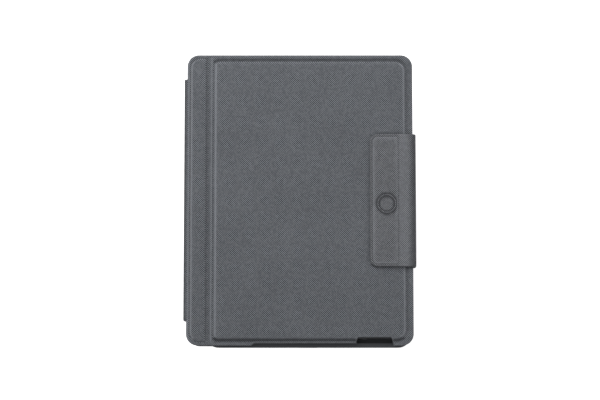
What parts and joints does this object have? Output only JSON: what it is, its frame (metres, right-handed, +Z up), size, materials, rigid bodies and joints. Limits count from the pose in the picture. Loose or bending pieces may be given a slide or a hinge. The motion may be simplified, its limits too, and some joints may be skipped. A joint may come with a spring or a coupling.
{
  "type": "tablet keyboard case",
  "caption": "Fabric folio case with a snap-in tablet tray, a built-in keyboard in the padded front cover, a stand fold and a magnetic closure tab.",
  "frame": {"origin": "middle of the closed case's underside", "axes": "+Y along the spine, +X from the spine towards the closure tab, +Z up out of the front cover"},
  "size_m": [0.2006, 0.255, 0.0234],
  "materials": {
    "fabric": "woven, matt",
    "tab_fabric": "woven, matt",
    "board": "matt",
    "lining": "microfibre, matt",
    "foam": "open cell",
    "tray": "satin",
    "button": "matt",
    "steel": "brushed",
    "magnet": "nickel plate",
    "deck": "fine texture",
    "keycap": "matt",
    "silicone": "matt",
    "film": "gloss",
    "battery": "gloss film",
    "board_green": "solder mask",
    "plate": "satin",
    "bumper": "matt",
    "lens": "clear",
    "trackpad": "satin",
    "switch": "satin"
  },
  "bodies": {
    "spine": {"spine_skin": "fabric", "spine_board": "board", "spine_lining": "lining"},
    "back_lower": {"back_lower_skin": "fabric", "back_lower_board": "board", "back_lower_lining": "lining"},
    "back_upper": {"back_upper_skin": "fabric", "back_upper_board": "board", "back_upper_lining": "lining", "camera_ring": "tray", "tray_floor_plate": "tray", "tray_rim": "tray", "tray_keeper": "steel", "tab_root": "tab_fabric"},
    "volume_up": {"volume_up_cover": "button"},
    "volume_down": {"volume_down_cover": "button"},
    "power_button": {"power_button_cover": "button"},
    "cover_strip": {"strip_skin": "fabric", "strip_foam": "foam", "strip_board": "board", "strip_lining": "lining", "dock_rail": "tray", "dock_magnets": "magnet"},
    "keyboard_cover": {"cover_skin": "fabric", "cover_foam": "foam", "cover_board": "board", "cover_lining": "lining", "keeper_plate": "steel", "keyboard_base": "plate", "keyboard_deck": "deck", "dome_sheet": "silicone", "membrane": "film", "support_plate": "steel", "battery_cells": "battery", "circuit_board": "board_green", "trackpad_switch": "switch", "charging_port": "steel", "status_led": "lens", "deck_screws": "steel", "rubber_bumpers": "bumper"},
    "function_row": {"function_keys": "keycap"},
    "number_row": {"number_keys": "keycap"},
    "upper_row": {"upper_keys": "keycap"},
    "home_row": {"home_keys": "keycap"},
    "lower_row": {"lower_keys": "keycap"},
    "modifier_row": {"modifier_keys": "keycap"},
    "arrow_cluster": {"arrow_keys": "keycap"},
    "space_key": {"space_bar": "keycap"},
    "trackpad_plate": {"trackpad": "trackpad"},
    "power_slider": {"power_switch": "switch"},
    "tab_side": {"tab_side_skin": "tab_fabric", "tab_side_stiffener": "board", "tab_side_lining": "lining"},
    "tab_flap": {"tab_flap_skin": "tab_fabric", "tab_flap_board": "board", "tab_flap_lining": "lining", "tab_magnets": "magnet"}
  },
  "joints": [
    {"name": "spine_fold", "type": "hinge", "parent": "spine", "child": "back_lower", "pos_m": [-0.0992, 0, 0.0006], "axis": [0, -1, 0], "range_deg": [0, 54]},
    {"name": "stand_fold", "type": "hinge", "parent": "back_lower", "child": "back_upper", "pos_m": [-0.0662, 0, 0.0006], "axis": [0, 1, 0], "range_deg": [0, 72]},
    {"name": "cover_fold", "type": "hinge", "parent": "spine", "child": "cover_strip", "pos_m": [-0.0992, 0, 0.0202], "axis": [0, -1, 0], "range_deg": [0, 90]},
    {"name": "crease_fold", "type": "hinge", "parent": "cover_strip", "child": "keyboard_cover", "pos_m": [-0.0789, 0, 0.0202], "axis": [0, -1, 0], "range_deg": [0, 90]},
    {"name": "tab_root_fold", "type": "hinge", "parent": "back_upper", "child": "tab_side", "pos_m": [0.0992, 0, 0.0011], "axis": [0, 1, 0], "range_deg": [0, 90]},
    {"name": "tab_flap_fold", "type": "hinge", "parent": "tab_side", "child": "tab_flap", "pos_m": [0.0992, 0, 0.0226], "axis": [0, 1, 0], "range_deg": [0, 90]},
    {"name": "volume_up_press", "type": "slide", "parent": "back_upper", "child": "volume_up", "axis": [-1, 0, 0], "range_m": [0, 0.00035], "stiffness_N_per_m": 600},
    {"name": "volume_down_press", "type": "slide", "parent": "back_upper", "child": "volume_down", "axis": [-1, 0, 0], "range_m": [0, 0.00035], "stiffness_N_per_m": 600},
    {"name": "power_button_press", "type": "slide", "parent": "back_upper", "child": "power_button", "axis": [0, -1, 0], "range_m": [0, 0.00035], "stiffness_N_per_m": 600},
    {"name": "function_row_press", "type": "slide", "parent": "keyboard_cover", "child": "function_row", "axis": [0, 0, 1], "range_m": [0, 0.0012], "stiffness_N_per_m": 400},
    {"name": "number_row_press", "type": "slide", "parent": "keyboard_cover", "child": "number_row", "axis": [0, 0, 1], "range_m": [0, 0.0012], "stiffness_N_per_m": 400},
    {"name": "upper_row_press", "type": "slide", "parent": "keyboard_cover", "child": "upper_row", "axis": [0, 0, 1], "range_m": [0, 0.0012], "stiffness_N_per_m": 400},
    {"name": "home_row_press", "type": "slide", "parent": "keyboard_cover", "child": "home_row", "axis": [0, 0, 1], "range_m": [0, 0.0012], "stiffness_N_per_m": 400},
    {"name": "lower_row_press", "type": "slide", "parent": "keyboard_cover", "child": "lower_row", "axis": [0, 0, 1], "range_m": [0, 0.0012], "stiffness_N_per_m": 400},
    {"name": "modifier_row_press", "type": "slide", "parent": "keyboard_cover", "child": "modifier_row", "axis": [0, 0, 1], "range_m": [0, 0.0012], "stiffness_N_per_m": 400},
    {"name": "arrow_cluster_press", "type": "slide", "parent": "keyboard_cover", "child": "arrow_cluster", "axis": [0, 0, 1], "range_m": [0, 0.0012], "stiffness_N_per_m": 400},
    {"name": "space_key_press", "type": "slide", "parent": "keyboard_cover", "child": "space_key", "axis": [0, 0, 1], "range_m": [0, 0.0012], "stiffness_N_per_m": 400},
    {"name": "trackpad_press", "type": "slide", "parent": "keyboard_cover", "child": "trackpad_plate", "axis": [0, 0, 1], "range_m": [0, 0.0003], "stiffness_N_per_m": 1500},
    {"name": "power_slide", "type": "slide", "parent": "keyboard_cover", "child": "power_slider", "axis": [1, 0, 0], "range_m": [0, 0.003]}
  ],
  "couplings": [
    {"joint": "spine_fold", "follows": "cover_fold", "ratio": 0.6},
    {"joint": "stand_fold", "follows": "cover_fold", "ratio": 0.8}
  ]
}
